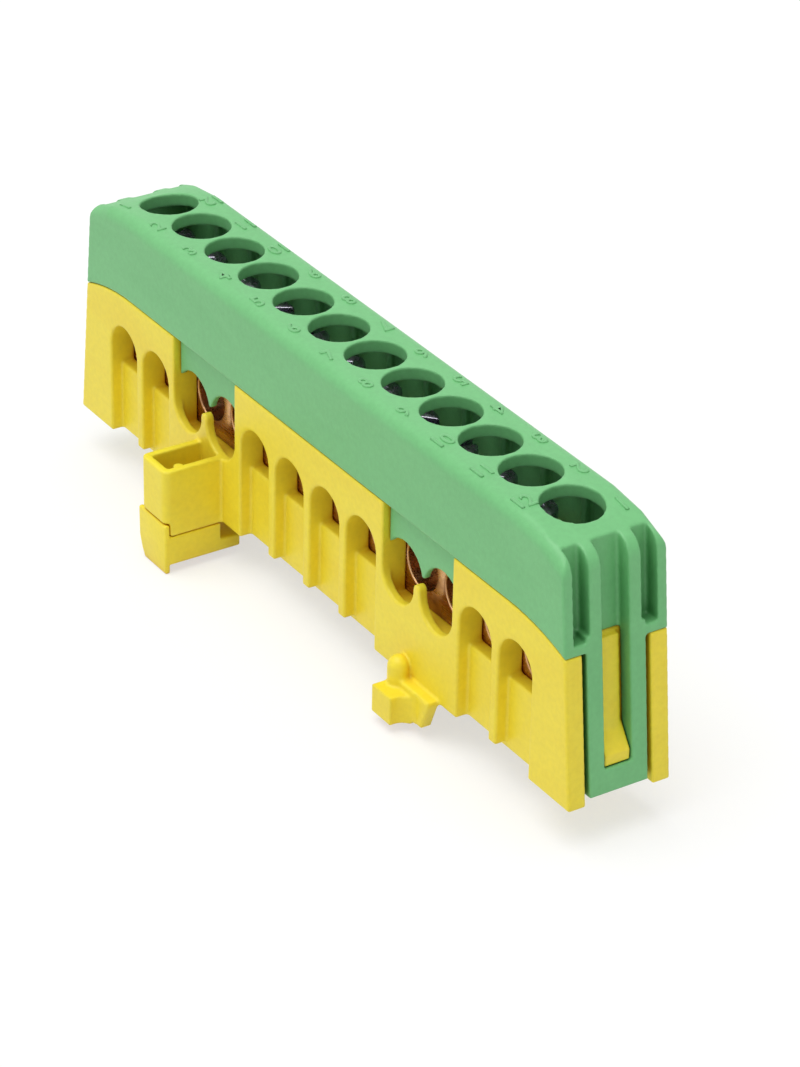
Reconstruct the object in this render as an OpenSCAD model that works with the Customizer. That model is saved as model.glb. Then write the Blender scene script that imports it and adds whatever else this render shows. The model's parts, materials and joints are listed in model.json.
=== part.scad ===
// Earth terminal bar, twelve ways, with a clip-on cover and two clip feet.
// Origin: middle of the footprint, on the surface it stands on. +X along the row, +Z up.
// The bar looks the same after half a turn about Z, so each end and side detail is made twice.

/* [Row] */
// Distance between neighbouring ways
way_pitch = 7; // [6.8:0.1:9]
// From the last way's centre to the end face, at the foot of the base
end_room = 9.9; // [9.5:0.1:12]
// Lean of both end faces, wider at the foot
end_lean = 6; // [3:0.5:8]

/* [Body] */
// Width across the base and the cover
body_w = 12; // [11.6:0.1:16]
// Base, from its underside to the parting line
base_h = 17.9; // [17.5:0.1:22]
// Cover, from the parting line to its top
cover_h = 10.1; // [9.6:0.1:14]
// Outer wall behind the grooves and round the bar
wall = 1.5; // [1.3:0.1:1.8]
// Depth of the grooves below the wire windows
groove_depth = 1.4; // [1:0.1:1.5]
// Radius of the cover's long top edges
edge_r = 1.5; // [0.8:0.1:2]
// Radius that the top bends down with at both ends
crown_r = 28; // [24:1:60]
// Where that bend starts, in from the end face
crown_run = 12.8; // [8:0.1:14]

/* [Wire ways] */
// Width of a wire window
window_w = 5.7; // [5.2:0.1:5.9]
// Height of the ways' centre line over the base's underside
way_h = 11.2; // [10.8:0.1:13]
// Window sill below that centre line
sill_drop = 2.9; // [2.7:0.1:3.4]
// Radius of the larger openings
wide_r = 2.9; // [2.7:0.1:3.1]
// Cross holes in the bar
bore_r = 2.6; // [2:0.1:2.7]
// Larger cross holes in the bar
wide_bore_r = 2.75; // [2.4:0.05:2.8]

/* [Terminal bar] */
// Thickness of the brass bar
bar_t = 6; // [5:0.1:6.4]
// Height of the brass bar
bar_h = 9.5; // [8.5:0.1:10.5]
// Brass below the ways' centre line
bar_below = 4.4; // [3.8:0.1:4.8]

/* [Screws] */
// Thread radius
screw_r = 2; // [1.5:0.1:2.1]
// Head radius
head_r = 2.85; // [2.6:0.05:3]
// Head height
head_h = 2.6; // [2:0.1:3]
// Driver hole in the cover
driver_r = 3.2; // [3.1:0.05:3.3]
// Head's top below the cover's top
head_depth = 4; // [3:0.1:4.5]

/* [Ends] */
// How far the fins stand out of the end wall
fin_depth = 1.9; // [1.5:0.1:2.2]
// Thickness of the fins and of the strap's legs
fin_t = 1.4; // [1:0.1:1.6]
// Half width of the strap's window
strap_window = 1.6; // [1.2:0.1:2]

/* [Feet] */
// Flat mounting bar that the feet grip, width
rail_w = 12; // [12:0.5:14]
// Flat mounting bar, thickness
rail_t = 2; // [1.5:0.1:2.2]
// Inner side of the feet, from the middle of the row
foot_x = 17.2; // [17:0.1:18]
// Width of a latch
latch_w = 5.2; // [5:0.1:5.4]
// How far a latch housing stands out of the side
housing_reach = 7; // [6.8:0.1:8]
// Height of a latch housing
housing_h = 7.9; // [7:0.1:9]
// Depth of the feet below the base
foot_h = 3.5; // [3.3:0.1:4.2]
// Finger lip below the latch
lip_h = 1; // [0.6:0.1:1.4]

/* [Hidden] */
$fn = 48;
ways = 12;
WIDE = [2, 3, 8, 9];
gap = 0.1;                                    // between parts that touch in use
eps = 0.01;
base_z = foot_h + lip_h;                      // underside of the base
part_z = base_z + base_h;                     // parting line
top_z = part_z + cover_h;
way_z = base_z + way_h;
sill_z = way_z - sill_drop;
end_x = (ways - 1) / 2 * way_pitch + end_room;
crown_x = end_x - crown_run;
part_bend_x = crown_x + 1.5;                  // the parting line bends a little later
side_y = body_w / 2;
groove_y = side_y - groove_depth;
skin_y = side_y - wall;                       // inside of the cover's side walls
bar_room_y = bar_t / 2 + gap / 2;             // channel for the bar
bar_room_x = ways / 2 * way_pitch + 1.1;
bar_z = way_z - bar_below;
bar_top = bar_z + bar_h;
floor_z = bar_z - wall;
rim_z = part_z + 1.6;                         // rim of the base inside the cover
window_r = window_w / 2;
fin_foot = 0.7;                               // the ribs between grooves stop short
panel_x = 3 * way_pitch;
nub_z = way_z - 0.3;                          // where the tongue between them turns round
wide_z = way_z - 0.5;                         // centre of the lower round halves
panel_t = 1;                                  // wall round the larger openings
skirt_y = side_y - 0.8;                       // outer face of the cover's skirts
skirt_t = 0.75;
skirt_half = way_pitch / 2 + wide_r - 0.2;
skirt_z = way_z + 0.9;
skirt_r = way_pitch / 2 - 0.1;
bend_tilts = [7, 20];                         // the bend's long edges are rounded in two runs
bend_slack = 0.02;
ledge_z = part_z - 0.6;                       // floor of the outer end pockets
strap_z = base_z + 0.7;
strap_sill = 2.6;
leg_y = strap_window + fin_t;
strap_y = leg_y + 0.45;                       // the strap is wider than the fins above it
post_y = strap_y + 0.5;                       // inner side of the corner posts
corner_r = 2.4;                               // top corners at both ends
tongue_out = 0.7;                             // snap tongue in the strap's window
nose_z = strap_z + strap_sill + gap;
head_z = top_z - head_depth - head_h;         // underside of a screw head
tip_z = way_z + wide_bore_r + 0.15;
housing_y = side_y + housing_reach;
housing_wall = 0.9;
housing_corner = 0.8;
latch_corner = 0.5;
plate_t = 0.6;                                // front plate of a latch
flare = 0.6;                                  // and how far its outer corner stands out
neck_w = 1.5;
hook_y = side_y + 3.4;
grip_y = rail_w / 2 + gap;                    // faces that close on the rail's edges
plate_h = foot_h - rail_t - gap;              // what reaches under the rail
latch_reach = 2.4;                            // of a latch under the rail
drill_past = 1.4;                             // screw holes end below the cross holes' centre

function way_x(i) = (i - (ways - 1) / 2) * way_pitch;
function is_wide(i) = len(search(i, WIDE)) > 0;
function lean_at(z) = (z - base_z) * tan(end_lean);
function end_at(z) = end_x - lean_at(z);

// Both halves of what repeats after half a turn about Z
module twice() {
    children();
    rotate([0, 0, 180]) children();
}

// Centre of the rounding between the bent top and the leaning end
crown_z = top_z - crown_r;
corner_run = end_at(crown_z) - corner_r / cos(end_lean) - crown_x;
corner_t = tan(end_lean);
corner_dz = (corner_run * corner_t + sqrt(pow(corner_run * corner_t, 2)
    - (1 + pow(corner_t, 2)) * (pow(corner_run, 2) - pow(crown_r - corner_r, 2)))) / (1 + pow(corner_t, 2));
corner_at = [crown_x + corner_run - corner_t * corner_dz, crown_z + corner_dz];
corner_turn = atan2(corner_dz, corner_at[0] - crown_x);

// What the rounding takes off one top corner
module corner_waste() {
    difference() {
        polygon([corner_at, corner_at + 6 * [cos(end_lean), sin(end_lean)],
                 corner_at + 9 * [cos(45), sin(45)],
                 corner_at + 6 * [cos(corner_turn), sin(corner_turn)]]);
        translate(corner_at) circle(corner_r, $fn = 96);
    }
}

// Extrudes an XZ outline along Y, from y0 to y1
module along_y(y0, y1) {
    translate([0, y1, 0]) rotate([90, 0, 0]) linear_extrude(y1 - y0) children();
}

// Side outline between two heights, with leaning ends moved in by inset
module side_outline(z0, z1, inset = 0) {
    polygon([[-end_at(z0) + inset, z0], [end_at(z0) - inset, z0],
             [end_at(z1) - inset, z1], [-end_at(z1) + inset, z1]]);
}

// Everything below a line at height z that bends down at both ends
module below_bend(z, bend_x, r) {
    translate([-bend_x, z - 2 * r]) square([2 * bend_x, 2 * r]);
    for (s = [-1, 1]) translate([s * bend_x, z - r]) circle(r, $fn = 160);
    for (s = [-1, 1]) translate([s * (bend_x + r / 2), z - 2 * r]) square([r, 2 * r - 8], center = true);
}

// Cross-section that rounds the crowned top's edges, wider below them
module crown_section(half_w, depth, r) {
    translate([-half_w - 1, -depth]) square([2 * half_w + 2, depth - r]);
    translate([-half_w + r, -depth]) square([2 * (half_w - r), depth]);
    for (s = [-1, 1]) translate([s * (half_w - r), -r]) circle(r);
}

// Long body under the bent top, with round top edges
module crowned(half_w, depth, r, lower = 0) {
    intersection() {
        along_y(-half_w, half_w) below_bend(top_z - lower, crown_x, crown_r - lower);
        translate([-end_x - 1, 0, top_z - lower]) rotate([90, 0, 90])
            linear_extrude(2 * end_x + 2) crown_section(half_w, depth, r);
    }
}

// Outline of one arched window with its groove running down to z0
module arch(z0, r = window_r) {
    translate([0, way_z]) circle(r);
    translate([-r, z0]) square([2 * r, way_z - z0]);
}

// ---------------------------------------------------------------- base

module base_outline() {
    intersection() {
        side_outline(base_z, part_z);
        below_bend(part_z, part_bend_x, crown_r);
    }
}

module wide_opening() {
    for (s = [-1, 1]) translate([s * way_pitch / 2, 0]) {
        translate([0, wide_z]) circle(wide_r);
        translate([-wide_r, wide_z]) square([2 * wide_r, nub_z - wide_z]);
    }
    difference() {
        translate([-way_pitch / 2 - wide_r, nub_z])
            square([way_pitch + 2 * wide_r, rim_z + 0.6 - nub_z]);
        translate([0, nub_z]) circle(way_pitch / 2 - wide_r);
    }
}

// Room behind a panel's wall, down to the bar's seat
module panel_room() {
    half = way_pitch / 2 + wide_r;
    translate([panel_x - half, -side_y + panel_t, bar_z]) cube([2 * half, side_y, top_z]);
}

// Plan of a block with two round corners on its outer side, y = 0 at that side
module round_front(w, d, r) {
    translate([-w / 2, r]) square([w, d - r]);
    translate([-w / 2 + r, 0]) square([w - 2 * r, d]);
    for (s = [-1, 1]) translate([s * (w / 2 - r), r]) circle(r);
}

module latch_housing() {
    translate([-foot_x - latch_w / 2, -housing_y, base_z])
        linear_extrude(housing_h) round_front(latch_w, housing_reach + 0.5, housing_corner);
}

// Hollow, neck slot and the seat of the latch's front plate
module housing_hollow() {
    mid_x = foot_x + latch_w / 2;
    inner = latch_w - 2 * housing_wall;
    translate([-mid_x - inner / 2, -housing_y + housing_wall, base_z + 1.2])
        cube([inner, housing_reach - housing_wall, housing_h]);
    translate([-mid_x - neck_w / 2 - gap, -housing_y + housing_wall, base_z - eps])
        cube([neck_w + 2 * gap, housing_reach - housing_wall, 2]);
    translate([-mid_x - latch_w, -housing_y - eps, base_z - eps])
        cube([2 * latch_w, 0.7, 1.6]);
}

// Stop peg on the housing's inner wall, above the latch's head
module housing_peg() {
    translate([-foot_x - housing_wall - 0.5, -housing_y + 2.5, base_z + 3.6]) {
        cylinder(r = 0.6, h = 4);
        translate([0, -0.6, 0]) cube([0.8, 1.2, 3]);
    }
}

// Fixed hook that the rail's other edge goes under
module rail_hook() {
    hook_x = foot_x + 1.2;
    guide_y = side_y + 1.4;
    top = base_z - 0.3;
    difference() {
        union() {
            translate([hook_x, -hook_y, lip_h]) cube([4.3, hook_y - grip_y, top - lip_h]);
            along_y(-guide_y, -grip_y) polygon([[hook_x + 1, lip_h], [hook_x + 6.1, lip_h + 0.5],
                [hook_x + 7.3, base_z], [hook_x + 7.3, base_z + 0.5], [hook_x + 1, base_z + 0.5]]);
        }
        translate([hook_x + 5.1, -guide_y - 1.5, 0]) cylinder(r = 1.6, h = 2 * base_z);
    }
    translate([hook_x, -grip_y - eps, lip_h]) cube([3.7, 1.5, plate_h]);
    translate([hook_x, -grip_y - eps, lip_h]) cube([3.7, grip_y - side_y + 0.4, foot_h + 0.4]);
    translate([hook_x + 1, -side_y - 0.8, top - 1]) {
        cylinder(r = 1.2, h = 2.9);
        translate([0, 0, 2.9]) sphere(1.2);
    }
}

module snap_nose() {
    x0 = end_x - fin_depth - 1;
    tongue_z = part_z - 1.4;
    front = fin_depth + gap - tongue_out;
    along_y(-strap_window + 0.4, strap_window - 0.4)
        polygon([[x0 - 1, nose_z + 3], [end_at(nose_z + 3) - front, nose_z + 3],
                 [end_at(tongue_z) - front, tongue_z], [x0 - 3, tongue_z]]);
    along_y(-strap_window + gap, strap_window - gap)
        polygon([[x0, nose_z], [end_at(nose_z) - 0.3, nose_z], [end_at(nose_z) - 0.3, nose_z + 1.2],
                 [end_at(nose_z + 4.4) - fin_depth - gap, nose_z + 4.4], [x0 - 1, nose_z + 4.4]]);
}

module base() {
    color("gold") difference() {
        union() {
            difference() {
                along_y(-side_y, side_y) base_outline();
                // grooves outside, with ribs between them
                twice() for (i = [0 : ways - 1]) if (!is_wide(i))
                    along_y(-side_y - 1, -groove_y) translate([way_x(i), 0]) arch(base_z - 1);
                twice() for (i = [0 : ways - 2]) if (!is_wide(i) && !is_wide(i + 1))
                    translate([way_x(i), -side_y - 1, base_z - 1])
                        cube([way_pitch, 1 + groove_depth, 1 + fin_foot]);
                // room for the cover's straps
                for (s = [0, 1]) mirror([s, 0, 0]) along_y(-post_y, post_y)
                    polygon([[end_at(base_z - 1) - fin_depth - gap, base_z - 1], [end_x + 5, base_z - 1],
                             [end_x + 5, top_z], [end_at(top_z) - fin_depth - gap, top_z]]);
            }
            // rim inside the cover
            translate([-bar_room_x + 1, -skin_y + gap, floor_z])
                cube([2 * bar_room_x - 2, 2 * skin_y - 2 * gap, rim_z - floor_z]);
            for (s = [0, 1]) mirror([s, 0, 0]) snap_nose();
            twice() latch_housing();
            twice() rail_hook();
        }
        // channel for the bar, and the hollow underside with its cross walls
        translate([-bar_room_x, -bar_room_y, bar_z]) cube([2 * bar_room_x, 2 * bar_room_y, top_z]);
        for (i = [0 : ways - 1]) translate([way_x(i), 0, base_z - 1])
            linear_extrude(floor_z - base_z + 1)
                square([way_pitch - wall, 2 * bar_room_y], center = true);
        // ways through both walls
        for (i = [0 : ways - 1]) if (!is_wide(i))
            along_y(-side_y, side_y) translate([way_x(i), 0]) arch(sill_z);
        for (s = [-1, 1]) along_y(-side_y - 1, side_y + 1)
            translate([s * panel_x, 0]) wide_opening();
        twice() for (s = [0, 1]) mirror([s, 0, 0]) panel_room();
        twice() housing_hollow();
    }
    color("gold") twice() housing_peg();
}

// ---------------------------------------------------------------- cover

// Rounds both long edges along a line that touches the bend at angle tilt
module bend_round(tilt) {
    deep = 2 * end_x;
    translate([crown_x + crown_r * sin(tilt), 0, top_z - crown_r * (1 - cos(tilt)) + bend_slack])
        rotate([0, tilt, 0]) rotate([90, 0, 90]) linear_extrude(6 * end_x, center = true) {
            translate([-side_y - 1, -deep]) square([2 * side_y + 2, deep - edge_r]);
            translate([-side_y + edge_r, -deep]) square([2 * (side_y - edge_r), 1.1 * deep]);
            for (s = [-1, 1]) translate([s * (side_y - edge_r), -edge_r]) circle(edge_r);
        }
}

module cover_block() {
    intersection() {
        crowned(side_y, 20, edge_r);
        bend_round(bend_tilts[0]);
        bend_round(bend_tilts[1]);
        mirror([1, 0, 0]) bend_round(bend_tilts[0]);
        mirror([1, 0, 0]) bend_round(bend_tilts[1]);
        along_y(-side_y, side_y) difference() {
            side_outline(part_z - 4, top_z + 1);
            below_bend(part_z + gap / 2, part_bend_x, crown_r);
            for (s = [0, 1]) mirror([s, 0]) corner_waste();
        }
    }
}

// Hollow of the cover, open below
module cover_room() {
    intersection() {
        crowned(skin_y, 22, 0.6, wall);
        along_y(-skin_y, skin_y) side_outline(part_z - 6, top_z + 1, fin_depth + wall);
    }
}

// Cuts one end back to its wall and leaves the pockets' floor standing
module end_cut() {
    for (s = [-1, 1]) along_y(s > 0 ? leg_y : -side_y + 1.1, s > 0 ? side_y - 1.1 : -leg_y)
        polygon([[end_at(ledge_z) - fin_depth, ledge_z], [end_x + 5, ledge_z],
                 [end_x + 5, top_z + 5], [end_at(top_z + 5) - fin_depth, top_z + 5]]);
    along_y(-strap_window, strap_window)
        polygon([[end_at(part_z - 6) - fin_depth, part_z - 6], [end_x + 5, part_z - 6],
                 [end_x + 5, top_z + 5], [end_at(top_z + 5) - fin_depth, top_z + 5]]);
}

module strap() {
    leg = [[end_at(strap_z) - fin_depth, strap_z], [end_at(strap_z), strap_z],
           [end_at(part_z), part_z], [end_at(part_z) - fin_depth, part_z]];
    difference() {
        along_y(-strap_y, strap_y) polygon(leg);
        translate([end_x - 10, -strap_window, strap_z + strap_sill])
            cube([20, 2 * strap_window, base_h]);
    }
}

module skirt() {
    along_y(-skirt_y, -skirt_y + skirt_t) translate([panel_x, 0]) difference() {
        translate([-skirt_half, skirt_z]) square([2 * skirt_half, part_z + 1 - skirt_z]);
        for (s = [-1, 1]) translate([s * way_pitch / 2, way_z]) circle(skirt_r);
    }
}

module cover() {
    color("mediumseagreen") {
        difference() {
            cover_block();
            cover_room();
            for (s = [0, 1]) mirror([s, 0, 0]) end_cut();
            for (i = [0 : ways - 1]) translate([way_x(i), 0, part_z]) cylinder(r = driver_r, h = 30);
        }
        for (s = [0, 1]) mirror([s, 0, 0]) strap();
        twice() for (s = [0, 1]) mirror([s, 0, 0]) skirt();
        // ribs between the screws
        twice() for (i = [1 : ways - 1])
            translate([way_x(i) - way_pitch / 2 - 0.5, -skin_y - 0.2, rim_z + 0.5])
                cube([1, 0.9, top_z - wall - rim_z]);
    }
}

// ---------------------------------------------------------------- bar and screws

module terminal_bar() {
    length = ways * way_pitch + 2;
    color("darkgoldenrod") difference() {
        translate([-length / 2, -bar_t / 2, bar_z]) cube([length, bar_t, bar_h]);
        for (i = [0 : ways - 1]) {
            translate([way_x(i), 0, way_z]) rotate([90, 0, 0])
                cylinder(r = is_wide(i) ? wide_bore_r : bore_r, h = bar_t + 2, center = true);
            translate([way_x(i), 0, way_z - drill_past]) cylinder(r = screw_r + 0.05, h = bar_h);
        }
    }
}

module screw(i) {
    color("silver") translate([way_x(i), 0, 0]) difference() {
        rotate_extrude() polygon([[0, tip_z], [screw_r - 0.5, tip_z], [screw_r, tip_z + 0.5],
            [screw_r, head_z], [head_r, head_z], [head_r, head_z + head_h - 0.4],
            [head_r - 0.4, head_z + head_h], [0, head_z + head_h]]);
        // slot with a shorter cross
        translate([-head_r, -0.45, head_z + head_h - 1.2]) cube([2 * head_r, 0.9, 2]);
        translate([-0.45, -1.6, head_z + head_h - 1.6]) cube([0.9, 3.2, 2]);
        translate([-1.6, -0.45, head_z + head_h - 1.6]) cube([3.2, 0.9, 2]);
    }
}

// ---------------------------------------------------------------- latches

module latch() {
    mid_x = foot_x + latch_w / 2;
    plate_top = base_z - gap;
    front = housing_y;
    color("goldenrod") translate([-mid_x, 0, 0]) {
        // body outside the rail, and the plate that reaches under it
        translate([0, -front, lip_h]) linear_extrude(plate_top - lip_h)
            round_front(latch_w, front - grip_y, latch_corner);
        translate([-latch_w / 2, -grip_y - eps, lip_h]) cube([latch_w, latch_reach, plate_h]);
        // front plate with its finger lip, flared at the top outer corner
        along_y(-front, -front + plate_t) polygon([[flare - latch_w / 2, 0], [latch_w / 2, 0],
            [latch_w / 2, base_z + 1.4], [-latch_w / 2 - flare, base_z + 1.4],
            [0.1 - latch_w / 2 - flare, lip_h + 1.4], [-latch_w / 2, lip_h]]);
        // neck and head that the housing holds
        translate([-neck_w / 2, -side_y - 1.6, plate_top - eps]) cube([neck_w, 1.4, 1.6]);
        translate([-latch_w / 2 + housing_wall + gap, -side_y - 1.6, base_z + 1.2 + gap])
            cube([latch_w - 2 * housing_wall - 2 * gap, 1.4, 1.5]);
    }
}

module rail_latch_left() { latch(); }
module rail_latch_right() { rotate([0, 0, 180]) latch(); }

module screw_01() { screw(0); }
module screw_02() { screw(1); }
module screw_03() { screw(2); }
module screw_04() { screw(3); }
module screw_05() { screw(4); }
module screw_06() { screw(5); }
module screw_07() { screw(6); }
module screw_08() { screw(7); }
module screw_09() { screw(8); }
module screw_10() { screw(9); }
module screw_11() { screw(10); }
module screw_12() { screw(11); }

base();
cover();
terminal_bar();
rail_latch_left();
rail_latch_right();
screw_01();
screw_02();
screw_03();
screw_04();
screw_05();
screw_06();
screw_07();
screw_08();
screw_09();
screw_10();
screw_11();
screw_12();
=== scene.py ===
import json
import math

import bpy
from mathutils import Matrix, Vector


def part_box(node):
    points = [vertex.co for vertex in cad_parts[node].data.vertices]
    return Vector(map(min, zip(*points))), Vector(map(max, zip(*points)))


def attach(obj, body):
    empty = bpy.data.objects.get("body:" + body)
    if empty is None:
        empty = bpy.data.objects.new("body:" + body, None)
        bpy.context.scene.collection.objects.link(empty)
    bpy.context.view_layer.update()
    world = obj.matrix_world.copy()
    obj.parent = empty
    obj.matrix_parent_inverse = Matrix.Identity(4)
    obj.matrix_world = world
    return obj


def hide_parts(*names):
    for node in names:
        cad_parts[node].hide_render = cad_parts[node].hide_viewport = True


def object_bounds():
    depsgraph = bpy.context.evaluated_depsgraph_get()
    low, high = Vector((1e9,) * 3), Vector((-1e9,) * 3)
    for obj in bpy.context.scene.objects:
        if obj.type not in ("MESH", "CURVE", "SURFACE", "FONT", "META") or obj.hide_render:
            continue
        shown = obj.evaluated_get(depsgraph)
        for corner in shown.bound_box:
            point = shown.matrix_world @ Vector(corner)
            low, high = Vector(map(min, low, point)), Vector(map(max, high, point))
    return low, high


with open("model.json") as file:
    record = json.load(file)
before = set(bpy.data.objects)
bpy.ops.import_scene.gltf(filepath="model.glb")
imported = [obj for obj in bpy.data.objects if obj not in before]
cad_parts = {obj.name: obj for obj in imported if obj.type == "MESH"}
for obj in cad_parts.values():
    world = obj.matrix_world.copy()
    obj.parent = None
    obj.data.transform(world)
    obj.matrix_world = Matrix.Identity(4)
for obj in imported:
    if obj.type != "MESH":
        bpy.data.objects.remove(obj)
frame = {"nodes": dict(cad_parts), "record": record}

mm = 0.001
nodes = frame["nodes"]
cadLow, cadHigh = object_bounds()
print("frame loaded,", len(nodes), "CAD nodes")

# how the bar is laid out, read back from the frame
screwNames = sorted(n for n in nodes if n.startswith("screw_"))
screwX = [(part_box(n)[0].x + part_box(n)[1].x) / 2 for n in screwNames]
pitch = (screwX[-1] - screwX[0]) / (len(screwX) - 1)
top = cadHigh.z


# ---- view and light ----

view = {
    "azimuth": 56.761, "elevation": 29.911, "roll": 1.206,
    "shift": (0.624, -2.806),      # in hole pitches, across and up the picture
    "distance": 58.456,            # in hole pitches from the middle of the top
    "lens": 135.457,
}


def addCamera():
    azimuth, elevation, roll = (math.radians(view[k]) for k in ("azimuth", "elevation", "roll"))
    back = Vector((math.sin(azimuth) * math.cos(elevation), -math.cos(azimuth) * math.cos(elevation), math.sin(elevation)))
    right = Vector((math.cos(azimuth), math.sin(azimuth), 0))
    up = back.cross(right)
    across = math.cos(roll) * right + math.sin(roll) * up
    upright = math.cos(roll) * up - math.sin(roll) * right
    place = pitch * (view["shift"][0] * across + view["shift"][1] * upright + view["distance"] * back)
    data = bpy.data.cameras.new("productCamera")
    data.lens = view["lens"]
    data.sensor_width = 36
    data.clip_start, data.clip_end = 0.01, 20
    camera = bpy.data.objects.new("productCamera", data)
    bpy.context.scene.collection.objects.link(camera)
    turn = Matrix((across, upright, back)).transposed().to_4x4()
    camera.matrix_world = Matrix.Translation(place + Vector((0, 0, top))) @ turn
    bpy.context.scene.camera = camera


studio = {
    "ambient": 0.44,
    "keyPower": 2.05, "keyFrom": (-0.06, -0.20, 1.0), "keySpread": 55,
    "fillPower": 0.18, "fillFrom": (-0.2, -1.0, 0.35), "fillSpread": 60,
    "floorTone": 0.82, "shadowKept": 0.4,
}


def addSun(name, power, fromSide, spread):
    data = bpy.data.lights.new(name, "SUN")
    data.energy = power
    data.angle = math.radians(spread)
    lamp = bpy.data.objects.new(name, data)
    bpy.context.scene.collection.objects.link(lamp)
    lamp.matrix_world = Vector(fromSide).to_track_quat("Z", "Y").to_matrix().to_4x4()


def newMaterial(name):
    material = bpy.data.materials.new(name)
    material.use_nodes = True
    material.node_tree.nodes.clear()
    return material, material.node_tree


def addNode(tree, kind, x=0, y=0, **settings):
    node = tree.nodes.new("ShaderNode" + kind)
    node.location = (x, y)
    for key, value in settings.items():
        setattr(node, key, value)
    return node


def seenDirectly(tree):
    # one where the camera, a reflection or glass looks straight at the backdrop
    path = addNode(tree, "LightPath", -900, 0)
    first = addNode(tree, "Math", -700, 0, operation="ADD")
    both = addNode(tree, "Math", -500, 0, operation="ADD", use_clamp=True)
    tree.links.new(path.outputs["Is Camera Ray"], first.inputs[0])
    tree.links.new(path.outputs["Is Glossy Ray"], first.inputs[1])
    tree.links.new(first.outputs[0], both.inputs[0])
    tree.links.new(path.outputs["Is Transmission Ray"], both.inputs[1])
    return both.outputs[0]


def addStudio():
    world = bpy.data.worlds.new("paleStudio")
    bpy.context.scene.world = world
    world.use_nodes = True
    tree = world.node_tree
    tree.nodes.clear()
    seen = seenDirectly(tree)
    strength = addNode(tree, "MapRange", -300, 0)
    strength.inputs["To Min"].default_value = studio["ambient"]
    strength.inputs["To Max"].default_value = 1.0
    background = addNode(tree, "Background", -100, 0)
    output = addNode(tree, "OutputWorld", 100, 0)
    tree.links.new(seen, strength.inputs["Value"])
    tree.links.new(strength.outputs["Result"], background.inputs["Strength"])
    tree.links.new(background.outputs[0], output.inputs["Surface"])
    background.inputs["Color"].default_value = (1, 1, 1, 1)
    addSun("overheadSoftLight", studio["keyPower"], studio["keyFrom"], studio["keySpread"])
    addSun("frontSoftLight", studio["fillPower"], studio["fillFrom"], studio["fillSpread"])

    bpy.ops.mesh.primitive_grid_add(x_subdivisions=8, y_subdivisions=8, size=8, location=(0, 0, cadLow.z))
    floor = bpy.context.object
    floor.name = floor.data.name = "paleFloor"
    material, tree = newMaterial("palePaper")
    paper = addNode(tree, "BsdfPrincipled", 0, 0)
    output = addNode(tree, "OutputMaterial", 300, 0)
    seen = seenDirectly(tree)
    tone = addNode(tree, "MapRange", -300, 0)
    tone.inputs["To Min"].default_value = studio["floorTone"]
    tree.links.new(seen, tone.inputs["Value"])
    tree.links.new(tone.outputs["Result"], paper.inputs["Base Color"])
    share = addNode(tree, "Math", -300, -300, operation="MULTIPLY")
    share.inputs[1].default_value = 1 - studio["shadowKept"]
    tree.links.new(seen, share.inputs[0])
    white = addNode(tree, "Emission", 0, -300)
    mix = addNode(tree, "MixShader", 200, 0)
    tree.links.new(share.outputs[0], mix.inputs[0])
    tree.links.new(white.outputs[0], mix.inputs[2])
    paper.inputs["Roughness"].default_value = 0.9
    paper.inputs["Specular IOR Level"].default_value = 0.1
    tree.links.new(paper.outputs[0], mix.inputs[1])
    tree.links.new(mix.outputs[0], output.inputs["Surface"])
    floor.data.materials.append(material)


# ---- finishes ----

def newGroup(name, inputs, outputs):
    group = bpy.data.node_groups.new(name, "ShaderNodeTree")
    for label, kind, value in inputs:
        socket = group.interface.new_socket(label, in_out="INPUT", socket_type="NodeSocket" + kind)
        if kind == "Color":
            socket.default_value = (*value, 1)
        elif kind == "Float":
            socket.default_value = value
    for label, kind in outputs:
        group.interface.new_socket(label, in_out="OUTPUT", socket_type="NodeSocket" + kind)
    given, out = group.nodes.new("NodeGroupInput"), group.nodes.new("NodeGroupOutput")
    given.location.x = -1500
    return group, given, out


def chain(tree, kind, x, y, links, values=None, **settings):
    # a node with its inputs joined or set in one go
    node = addNode(tree, kind, x, y, **settings)
    for key, source in links.items():
        tree.links.new(source, node.inputs[key])
    for key, value in (values or {}).items():
        node.inputs[key].default_value = value
    return node


def edgeWearGroup():
    # softened edges as a normal, and a mask of where hands and tools rub
    group, given, out = newGroup("edgeWear", [("Radius", "Float", 0.3 * mm), ("Breakup", "Float", 900)],
                                 [("Mask", "Float"), ("Normal", "Vector")])
    place = addNode(group, "TexCoord", -1200, -200)
    soft = chain(group, "Bevel", -900, 100, {"Radius": given.outputs["Radius"]}, samples=6)
    flat = addNode(group, "NewGeometry", -900, -100)
    facing = chain(group, "VectorMath", -700, 0, {0: soft.outputs[0], 1: flat.outputs["Normal"]}, operation="DOT_PRODUCT")
    edge = chain(group, "MapRange", -500, 0, {"Value": facing.outputs["Value"]},
                 {"From Min": 0.995, "From Max": 0.80, "To Min": 0.0, "To Max": 1.0})
    patch = chain(group, "TexNoise", -700, -250, {"Vector": place.outputs["Object"], "Scale": given.outputs["Breakup"]},
                  {"Detail": 4.0, "Roughness": 0.6})
    worn = chain(group, "MapRange", -500, -250, {"Value": patch.outputs[0]}, {"From Min": 0.42, "From Max": 0.62})
    mask = chain(group, "Math", -300, 0, {0: edge.outputs[0], 1: worn.outputs[0]}, operation="MULTIPLY")
    group.links.new(mask.outputs[0], out.inputs["Mask"])
    group.links.new(soft.outputs[0], out.inputs["Normal"])
    return group


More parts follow.
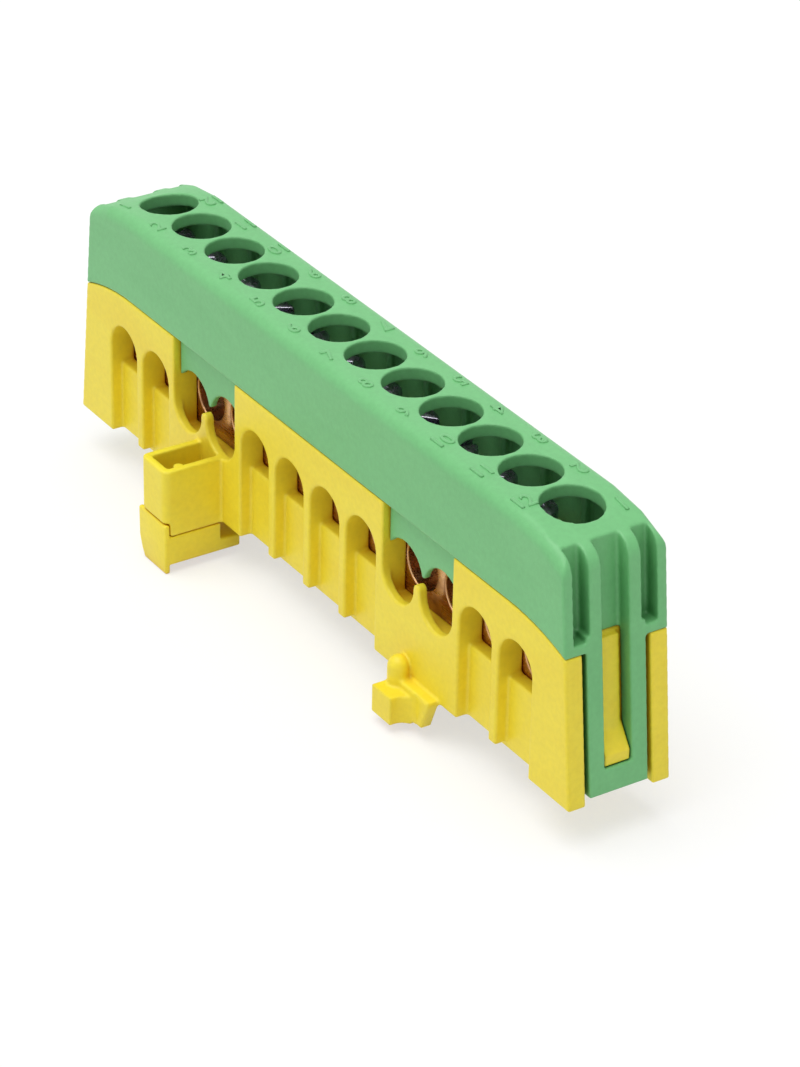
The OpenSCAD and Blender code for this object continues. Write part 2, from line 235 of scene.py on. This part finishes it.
def mouldedSkinGroup():
    # spark-eroded mould grain, slow flow marks and small shade changes
    group, given, out = newGroup("mouldedSkin",
                                 [("Colour", "Color", (0.5, 0.5, 0.5)), ("Flow Colour", "Color", (0.4, 0.4, 0.4)),
                                  ("Rub Colour", "Color", (0.6, 0.6, 0.6)), ("Rub", "Float", 0.0),
                                  ("Grain", "Float", 5200), ("Gloss", "Float", 0.42)],
                                 [("Colour", "Color"), ("Roughness", "Float"), ("Height", "Float")])
    place = addNode(group, "TexCoord", -1300, 0)
    grain = chain(group, "TexNoise", -1000, -300, {"Vector": place.outputs["Object"], "Scale": given.outputs["Grain"]},
                  {"Detail": 3.0, "Roughness": 0.55})
    pits = chain(group, "TexVoronoi", -1000, -550, {"Vector": place.outputs["Object"], "Scale": given.outputs["Grain"]})
    stretch = chain(group, "Mapping", -1150, 250, {"Vector": place.outputs["Object"]}, {"Scale": (60.0, 260.0, 200.0)})
    flow = chain(group, "TexNoise", -950, 250, {"Vector": stretch.outputs[0]}, {"Scale": 1.0, "Detail": 3.0, "Distortion": 0.8})
    speck = chain(group, "TexNoise", -950, 500, {"Vector": place.outputs["Object"]}, {"Scale": 1700.0, "Detail": 2.0})
    flowShare = chain(group, "MapRange", -750, 250, {"Value": flow.outputs[0]}, {"From Min": 0.35, "From Max": 0.7})
    speckShare = chain(group, "MapRange", -750, 500, {"Value": speck.outputs[0]},
                       {"From Min": 0.3, "From Max": 0.7, "To Min": 0.965, "To Max": 1.03})
    shade = chain(group, "Mix", -500, 200, {"Factor": flowShare.outputs[0], 6: given.outputs["Colour"], 7: given.outputs["Flow Colour"]},
                  data_type="RGBA")
    speckled = chain(group, "VectorMath", -300, 200, {0: shade.outputs[2], "Scale": speckShare.outputs[0]}, operation="SCALE")
    rubbed = chain(group, "Mix", -100, 200, {"Factor": given.outputs["Rub"], 6: speckled.outputs[0], 7: given.outputs["Rub Colour"]},
                   data_type="RGBA")
    rough = chain(group, "MapRange", -500, -100, {"Value": grain.outputs[0]}, {"To Min": -0.07, "To Max": 0.07})
    roughSum = chain(group, "Math", -300, -100, {0: rough.outputs[0], 1: given.outputs["Gloss"]}, operation="ADD")
    polish = chain(group, "Math", -100, -100, {0: given.outputs["Rub"], 2: roughSum.outputs[0]}, {1: -0.12},
                   operation="MULTIPLY_ADD")
    height = chain(group, "Math", -500, -400, {0: grain.outputs[0], 1: pits.outputs["Distance"]}, operation="MULTIPLY")
    group.links.new(rubbed.outputs[2], out.inputs["Colour"])
    group.links.new(polish.outputs[0], out.inputs["Roughness"])
    group.links.new(height.outputs[0], out.inputs["Height"])
    return group


def depthShadeGroup():
    # painted shade: in pockets, holes and closed rooms an ambient-occlusion mask darkens and tints the colour, painting
    # in the shade and the coloured bounce light that fall there
    group, given, out = newGroup("paintedDepthShade", [("Colour", "Color", (0.5, 0.5, 0.5)), ("Painted Shade Tint", "Color", (0.3, 0.3, 0.3)),
                                                ("Reach", "Float", 4 * mm)], [("Colour", "Color")])
    closed = chain(group, "AmbientOcclusion", -700, 0, {"Distance": given.outputs["Reach"]}, samples=12)
    share = chain(group, "MapRange", -500, 0, {"Value": closed.outputs["AO"]}, {"From Min": 0.05, "From Max": 0.58})
    deep = chain(group, "VectorMath", -500, 250, {0: given.outputs["Colour"], 1: given.outputs["Painted Shade Tint"]}, operation="MULTIPLY")
    mixed = chain(group, "Mix", -250, 0, {"Factor": share.outputs[0], 6: deep.outputs[0], 7: given.outputs["Colour"]}, data_type="RGBA")
    group.links.new(mixed.outputs[2], out.inputs["Colour"])
    return group


def metalSkinGroup():
    # drawn or turned metal: fine lines along one way, tarnish in slow patches
    group, given, out = newGroup("metalSkin",
                                 [("Colour", "Color", (0.7, 0.7, 0.7)), ("Tarnish", "Color", (0.4, 0.4, 0.4)),
                                  ("Bright", "Color", (0.9, 0.9, 0.9)), ("Rub", "Float", 0.0), ("Gloss", "Float", 0.3),
                                  ("Lines", "Vector", None), ("Patches", "Float", 350)],
                                 [("Colour", "Color"), ("Roughness", "Float"), ("Height", "Float")])
    place = addNode(group, "TexCoord", -1300, 0)
    drawn = chain(group, "VectorMath", -1100, 100, {0: place.outputs["Object"], 1: given.outputs["Lines"]}, operation="MULTIPLY")
    lines = chain(group, "TexNoise", -900, 100, {"Vector": drawn.outputs[0]}, {"Scale": 1.0, "Detail": 4.0, "Roughness": 0.7})
    patch = chain(group, "TexNoise", -900, -200, {"Vector": place.outputs["Object"], "Scale": given.outputs["Patches"]},
                  {"Detail": 5.0, "Roughness": 0.65, "Distortion": 0.4})
    share = chain(group, "MapRange", -700, -200, {"Value": patch.outputs[0]}, {"From Min": 0.45, "From Max": 0.72})
    shade = chain(group, "Mix", -450, 100, {"Factor": share.outputs[0], 6: given.outputs["Colour"], 7: given.outputs["Tarnish"]},
                  data_type="RGBA")
    rubbed = chain(group, "Mix", -250, 100, {"Factor": given.outputs["Rub"], 6: shade.outputs[2], 7: given.outputs["Bright"]},
                   data_type="RGBA")
    lineShare = chain(group, "MapRange", -700, 100, {"Value": lines.outputs[0]}, {"To Min": -0.1, "To Max": 0.12})
    rough = chain(group, "Math", -450, -100, {0: lineShare.outputs[0], 1: given.outputs["Gloss"]}, operation="ADD")
    dull = chain(group, "Math", -250, -100, {0: share.outputs[0], 2: rough.outputs[0]}, {1: 0.14}, operation="MULTIPLY_ADD")
    group.links.new(rubbed.outputs[2], out.inputs["Colour"])
    group.links.new(dull.outputs[0], out.inputs["Roughness"])
    group.links.new(lines.outputs[0], out.inputs["Height"])
    return group


def placeGroup(tree, group, x, y, **values):
    node = tree.nodes.new("ShaderNodeGroup")
    node.node_tree = group
    node.location = (x, y)
    for key, value in values.items():
        node.inputs[key].default_value = value
    return node


# each finish's reach and last tint set its painted shade: how far the ambient-occlusion mask looks, and the darker tint
# its colour is pulled to in hollows
finish = {
    "greenMoulding": {
        "colour": (0.176, 0.530, 0.205), "flow": (0.160, 0.500, 0.188), "rub": (0.225, 0.600, 0.255),
        "gloss": 0.44, "grain": 5200, "edge": 0.30 * mm, "bump": 0.030 * mm, "reach": 5 * mm, "deep": (0.05, 0.24, 0.08),
    },
    "yellowMoulding": {
        "colour": (0.930, 0.765, 0.040), "flow": (0.905, 0.715, 0.032), "rub": (0.960, 0.830, 0.090),
        "gloss": 0.42, "grain": 5600, "edge": 0.30 * mm, "bump": 0.022 * mm, "reach": 3 * mm, "deep": (0.80, 0.50, 0.12),
    },
    "drawnBrass": {
        "colour": (0.640, 0.370, 0.180), "tarnish": (0.340, 0.150, 0.070), "bright": (0.960, 0.760, 0.580),
        "gloss": 0.25, "lines": (60.0, 4200.0, 4200.0), "patches": 420, "edge": 0.25 * mm, "bump": 0.006 * mm,
        "reach": 5 * mm, "deep": (0.50, 0.36, 0.28),
    },
    "zincSteel": {
        "colour": (0.460, 0.430, 0.520), "tarnish": (0.200, 0.170, 0.240), "bright": (0.850, 0.840, 0.880),
        "gloss": 0.20, "lines": (900.0, 900.0, 5200.0), "patches": 900, "edge": 0.12 * mm, "bump": 0.004 * mm,
        "reach": 4 * mm, "deep": (0.45, 0.40, 0.52),
    },
}


def addFinish(name, skin, wear, shade, metal):
    look = finish[name]
    material, tree = newMaterial(name)
    shader = addNode(tree, "BsdfPrincipled", 0, 0)
    output = addNode(tree, "OutputMaterial", 300, 0)
    rub = placeGroup(tree, wear, -900, -200, Radius=look["edge"])
    values = {"Gloss": look["gloss"], "Colour": (*look["colour"], 1)}
    if metal:
        values.update({"Tarnish": (*look["tarnish"], 1), "Bright": (*look["bright"], 1), "Lines": look["lines"], "Patches": look["patches"]})
    else:
        values.update({"Flow Colour": (*look["flow"], 1), "Rub Colour": (*look["rub"], 1), "Grain": look["grain"]})
    surface = placeGroup(tree, skin, -600, 0, **values)
    # painted shade: the colour is darkened and tinted in hollows before it becomes the base colour
    depth = placeGroup(tree, shade, -300, 200, **{"Reach": look["reach"], "Painted Shade Tint": (*look["deep"], 1)})
    tree.links.new(surface.outputs["Colour"], depth.inputs["Colour"])
    bump = addNode(tree, "Bump", -300, -300)
    bump.inputs["Strength"].default_value = 0.5
    bump.inputs["Distance"].default_value = look["bump"]
    tree.links.new(rub.outputs["Mask"], surface.inputs["Rub"])
    tree.links.new(rub.outputs["Normal"], bump.inputs["Normal"])
    tree.links.new(surface.outputs["Height"], bump.inputs["Height"])
    tree.links.new(depth.outputs["Colour"], shader.inputs["Base Color"])
    tree.links.new(surface.outputs["Roughness"], shader.inputs["Roughness"])
    tree.links.new(bump.outputs[0], shader.inputs["Normal"])
    tree.links.new(shader.outputs[0], output.inputs["Surface"])
    shader.inputs["Metallic"].default_value = 1.0 if metal else 0.0
    if not metal:
        shader.inputs["IOR"].default_value = 1.49
    return material


def addFinishes():
    wear, shade, moulded, metal = edgeWearGroup(), depthShadeGroup(), mouldedSkinGroup(), metalSkinGroup()
    for name in finish:
        isMetal = "colour" in finish[name] and "tarnish" in finish[name]
        finish[name]["material"] = addFinish(name, metal if isMetal else moulded, wear, shade, isMetal)
    print("finishes made:", ", ".join(finish))


def dress(piece, name):
    for holder in piece.material_slots:
        holder.material = finish[name]["material"]
    if not piece.material_slots:
        piece.data.materials.append(finish[name]["material"])


# ---- modelling helpers ----

def deselectAll():
    if bpy.context.mode != "OBJECT":
        bpy.ops.object.mode_set(mode="OBJECT")
    bpy.ops.object.select_all(action="DESELECT")


def pick(piece):
    deselectAll()
    piece.select_set(True)
    bpy.context.view_layer.objects.active = piece


def applyAll(piece):
    pick(piece)
    for modifier in list(piece.modifiers):
        bpy.ops.object.modifier_apply(modifier=modifier.name)


def settle(piece):
    # its place goes into its mesh
    pick(piece)
    bpy.ops.object.transform_apply(location=True, rotation=True, scale=True)


def join(pieces, name):
    deselectAll()
    for piece in pieces:
        piece.select_set(True)
    bpy.context.view_layer.objects.active = pieces[0]
    bpy.ops.object.join()
    whole = bpy.context.object
    whole.name = whole.data.name = name
    return whole


# ---- terminal screws: cheese head with a combined slot and cross, rolled thread ----

screw = {
    "headRadius": 2.80 * mm, "headHeight": 2.6 * mm, "headRound": 0.32 * mm,
    "neckRadius": 1.62 * mm, "crestRadius": 1.98 * mm, "threadPitch": 0.7 * mm,
    "slotWidth": 0.95 * mm, "slotDepth": 1.15 * mm,
    "crossReach": 1.55 * mm, "crossWidth": 0.80 * mm, "crossDepth": 1.7 * mm,
    "sides": 48,
}


def turnedBlank(steps):
    # a filled circle pushed up ring by ring: steps are (radius, height)
    radius, height = steps[0]
    bpy.ops.mesh.primitive_circle_add(vertices=screw["sides"], radius=radius, fill_type="NGON", location=(0, 0, height))
    blank = bpy.context.object
    settle(blank)
    pick(blank)
    bpy.ops.object.mode_set(mode="EDIT")
    bpy.ops.mesh.select_all(action="SELECT")
    for (r0, z0), (r1, z1) in zip(steps, steps[1:]):
        bpy.ops.mesh.extrude_region_move(TRANSFORM_OT_translate={"value": (0, 0, z1 - z0)})
        if r1 != r0:
            bpy.ops.transform.resize(value=(r1 / r0, r1 / r0, 1), center_override=(0, 0, z1))
    bpy.ops.mesh.select_all(action="SELECT")
    bpy.ops.mesh.normals_make_consistent(inside=False)
    bpy.ops.object.mode_set(mode="OBJECT")
    return blank


def cutterBlock(width, length, low, high, taper):
    bpy.ops.mesh.primitive_cube_add(size=1, location=(0, 0, (low + high) / 2), scale=(width, length, high - low))
    block = bpy.context.object
    settle(block)
    pick(block)
    bpy.ops.object.mode_set(mode="EDIT")
    bpy.ops.mesh.select_all(action="DESELECT")
    bpy.ops.object.mode_set(mode="OBJECT")
    for face in block.data.polygons:
        face.select = face.normal.z < -0.9
    bpy.ops.object.mode_set(mode="EDIT")
    bpy.ops.transform.resize(value=(taper, taper, 1), center_override=(0, 0, low))
    bpy.ops.object.mode_set(mode="OBJECT")
    return block


def carve(piece, cutter):
    cut = piece.modifiers.new("cut", "BOOLEAN")
    cut.operation, cut.object, cut.solver = "DIFFERENCE", cutter, "EXACT"
    applyAll(piece)
    bpy.data.objects.remove(cutter)


def modelScrew():
    low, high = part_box(screwNames[0])
    tip, headTop = low.z, high.z
    seat = headTop - screw["headHeight"]
    neck, head = screw["neckRadius"], screw["headRadius"]
    soft = screw["headRound"]
    bow = [(head - soft * (1 - math.cos(a)), headTop - soft + soft * math.sin(a)) for a in (0, 0.4, 0.8, 1.2, math.pi / 2)]
    blank = turnedBlank([(neck * 0.55, tip), (neck, tip + 0.45 * mm), (neck, seat), (head - 0.15 * mm, seat + 0.001 * mm),
                         (head, seat + 0.15 * mm)] + bow)
    # drivers' recess
    for turn in (0, math.pi / 2):
        cross = cutterBlock(screw["crossWidth"], 2 * screw["crossReach"], headTop - screw["crossDepth"], headTop + 0.3 * mm, 0.45)
        cross.rotation_euler.z = turn
        carve(blank, cross)
    carve(blank, cutterBlock(screw["slotWidth"], 3 * head, headTop - screw["slotDepth"], headTop + 0.3 * mm, 1.0))
    soften = blank.modifiers.new("soften", "BEVEL")
    soften.width, soften.segments, soften.limit_method, soften.angle_limit = 0.06 * mm, 2, "ANGLE", math.radians(40)
    applyAll(blank)
    # thread: one flank profile carried round the shank
    turns = int((seat - tip - 1.2 * mm) / screw["threadPitch"])
    bpy.ops.mesh.primitive_plane_add(size=1, location=(0, 0, 0))
    ridge = bpy.context.object
    half = screw["threadPitch"] * 0.47
    flank = [(neck - 0.12 * mm, -half), (neck - 0.12 * mm, half), (screw["crestRadius"], 0.06 * mm), (screw["crestRadius"], -0.06 * mm)]
    for vertex, (r, z) in zip(ridge.data.vertices, flank):
        vertex.co = (r, 0, z + tip + 0.75 * mm)
    pick(ridge)
    bpy.ops.object.mode_set(mode="EDIT")
    bpy.ops.mesh.select_all(action="SELECT")
    bpy.ops.mesh.delete(type="ONLY_FACE")
    bpy.ops.object.mode_set(mode="OBJECT")
    helix = ridge.modifiers.new("helix", "SCREW")
    helix.steps = helix.render_steps = 24
    helix.screw_offset, helix.iterations, helix.axis = screw["threadPitch"], turns, "Z"
    applyAll(ridge)
    pick(ridge)
    bpy.ops.object.mode_set(mode="EDIT")
    bpy.ops.mesh.select_all(action="SELECT")
    bpy.ops.mesh.remove_doubles(threshold=0.001 * mm)
    bpy.ops.mesh.fill_holes(sides=8)
    bpy.ops.mesh.normals_make_consistent(inside=False)
    bpy.ops.object.mode_set(mode="OBJECT")
    whole = join([blank, ridge], "screwModel")
    pick(whole)
    bpy.ops.object.shade_smooth_by_angle(angle=math.radians(35))
    return whole


def addScrews():
    model = modelScrew()
    for index, (name, x) in enumerate(zip(screwNames, screwX)):
        piece = model.copy()
        piece.data = model.data.copy()
        piece.name = piece.data.name = "terminalScrew%02d" % (index + 1)
        bpy.context.scene.collection.objects.link(piece)
        piece.rotation_euler.z = math.radians(25 + 41 * index % 180)
        piece.location.x = x
        settle(piece)
        dress(piece, "zincSteel")
        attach(piece, name + "_body")
        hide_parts(name)
    bpy.data.objects.remove(model)
    print("terminal screws:", len(screwNames))


# ---- raised position numbers beside the driver holes ----

numbers = {
    "height": 2.1 * mm, "pairWidth": 1.95 * mm, "proud": 0.11 * mm, "stroke": 0.012 * mm,
    "aside": 2.1 * mm, "offLine": 4.2 * mm, "bendRadius": 28 * mm, "bendStart": 35.6 * mm,
}


def glyphMesh(text):
    # drawn at 3 mm, then brought to size by the caller
    bpy.ops.object.text_add(location=(0, 0, 0))
    glyphs = bpy.context.object
    glyphs.data.body = text
    glyphs.data.size = 3 * mm
    glyphs.data.align_x, glyphs.data.align_y = "CENTER", "CENTER"
    glyphs.data.offset = numbers["stroke"]
    glyphs.data.extrude = 0.12 * mm
    glyphs.data.resolution_u = 4
    glyphs.data.bevel_depth = 0.05 * mm
    glyphs.data.bevel_resolution = 1
    pick(glyphs)
    bpy.ops.object.convert(target="MESH")
    return glyphs


def moulded(number, x, across, tall):
    glyphs = glyphMesh(str(number))
    over = abs(x) - numbers["bendStart"]
    tilt = math.asin(over / numbers["bendRadius"]) if over > 0 else 0.0
    drop = numbers["bendRadius"] * (1 - math.cos(tilt))
    glyphs.matrix_world = (Matrix.Translation((x, -numbers["offLine"], top - drop - 0.15 * mm + numbers["proud"]))
                           @ Matrix.Rotation(math.copysign(tilt, x), 4, "Y") @ Matrix.Rotation(math.pi / 2, 4, "Z")
                           @ Matrix.Diagonal((across, tall, 1, 1)))
    settle(glyphs)
    return glyphs


def addNumbers():
    pair = glyphMesh("10")
    across, tall = numbers["pairWidth"] / pair.dimensions.x, numbers["height"] / pair.dimensions.y
    bpy.data.objects.remove(pair)
    front = [moulded(k + 1, x - numbers["aside"], across, tall) for k, x in enumerate(screwX)]
    row = join(front, "numbersFront")
    back = row.copy()
    back.data = row.data.copy()
    back.name = back.data.name = "numbersBack"
    bpy.context.scene.collection.objects.link(back)
    back.rotation_euler.z = math.pi
    settle(back)
    for piece in (row, back):
        dress(piece, "greenMoulding")
        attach(piece, "root")
    print("position numbers: two rows")


# ---- mouldings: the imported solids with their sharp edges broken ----

mouldings = {
    "base": {"name": "baseMoulding", "look": "yellowMoulding", "slot": "base_plastic", "cell": 0.14 * mm, "most": 190000},
    "cover": {"name": "coverMoulding", "look": "greenMoulding", "slot": "cover_plastic", "cell": 0.14 * mm, "most": 190000},
    "rail_latch_left": {"name": "latchMouldingLeft", "look": "yellowMoulding", "slot": "latch_plastic", "round": 0.22 * mm},
    "rail_latch_right": {"name": "latchMouldingRight", "look": "yellowMoulding", "slot": "latch_plastic", "round": 0.22 * mm},
    "terminal_bar": {"name": "barBlank", "look": "drawnBrass", "slot": "brass", "round": 0.16 * mm},
}


def addMouldings():
    bodyOf = {n: body for body, members in frame["record"]["behaviour"]["bodies"].items() for n in members}
    for node, plan in mouldings.items():
        piece = nodes[node].copy()
        piece.data = nodes[node].data.copy()
        piece.parent = None
        piece.name = piece.data.name = plan["name"]
        for key in list(piece.keys()):
            del piece[key]
        bpy.context.scene.collection.objects.link(piece)
        pick(piece)
        bpy.ops.object.mode_set(mode="EDIT")
        bpy.ops.mesh.select_all(action="SELECT")
        bpy.ops.mesh.customdata_custom_splitnormals_clear()
        bpy.ops.mesh.remove_doubles(threshold=0.01 * mm)
        bpy.ops.mesh.mark_sharp(clear=True)
        if "cell" not in plan:
            bpy.ops.mesh.dissolve_limited(angle_limit=math.radians(1))
        bpy.ops.object.mode_set(mode="OBJECT")
        if "cell" in plan:
            # a fine skin, eased at its edges, then thinned where it is flat
            skin = piece.modifiers.new("skin", "REMESH")
            skin.mode, skin.voxel_size, skin.adaptivity = "VOXEL", plan["cell"], 0.0
            ease = piece.modifiers.new("ease", "SMOOTH")
            ease.factor, ease.iterations = 0.5, 5
            applyAll(piece)
            triangles = sum(len(f.vertices) - 2 for f in piece.data.polygons)
            thin = piece.modifiers.new("thin", "DECIMATE")
            thin.ratio = min(1.0, plan["most"] / triangles)
            print(plan["name"], "skin of", triangles, "triangles")
        else:
            rounding = piece.modifiers.new("rounding", "BEVEL")
            rounding.width, rounding.segments = plan["round"], 3
            rounding.limit_method, rounding.angle_limit = "ANGLE", math.radians(38)
            rounding.use_clamp_overlap = False
        applyAll(piece)
        pick(piece)
        bpy.ops.object.shade_smooth_by_angle(angle=math.radians(35))
        dress(piece, plan["look"])
        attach(piece, bodyOf[node])
        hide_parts(node)
    print("mouldings rounded:", len(mouldings))


# ---- the build ----

def dressFrame():
    for name, plan in mouldings.items():
        dress(nodes[name], plan["look"])
    for name in screwNames:
        dress(nodes[name], "zincSteel")
    print("CAD nodes dressed")


deselectAll()
addCamera()
addStudio()
addFinishes()
dressFrame()
addMouldings()
addScrews()
addNumbers()

scene = bpy.context.scene
scene.view_settings.view_transform = "Standard"
bpy.context.view_layer.update()
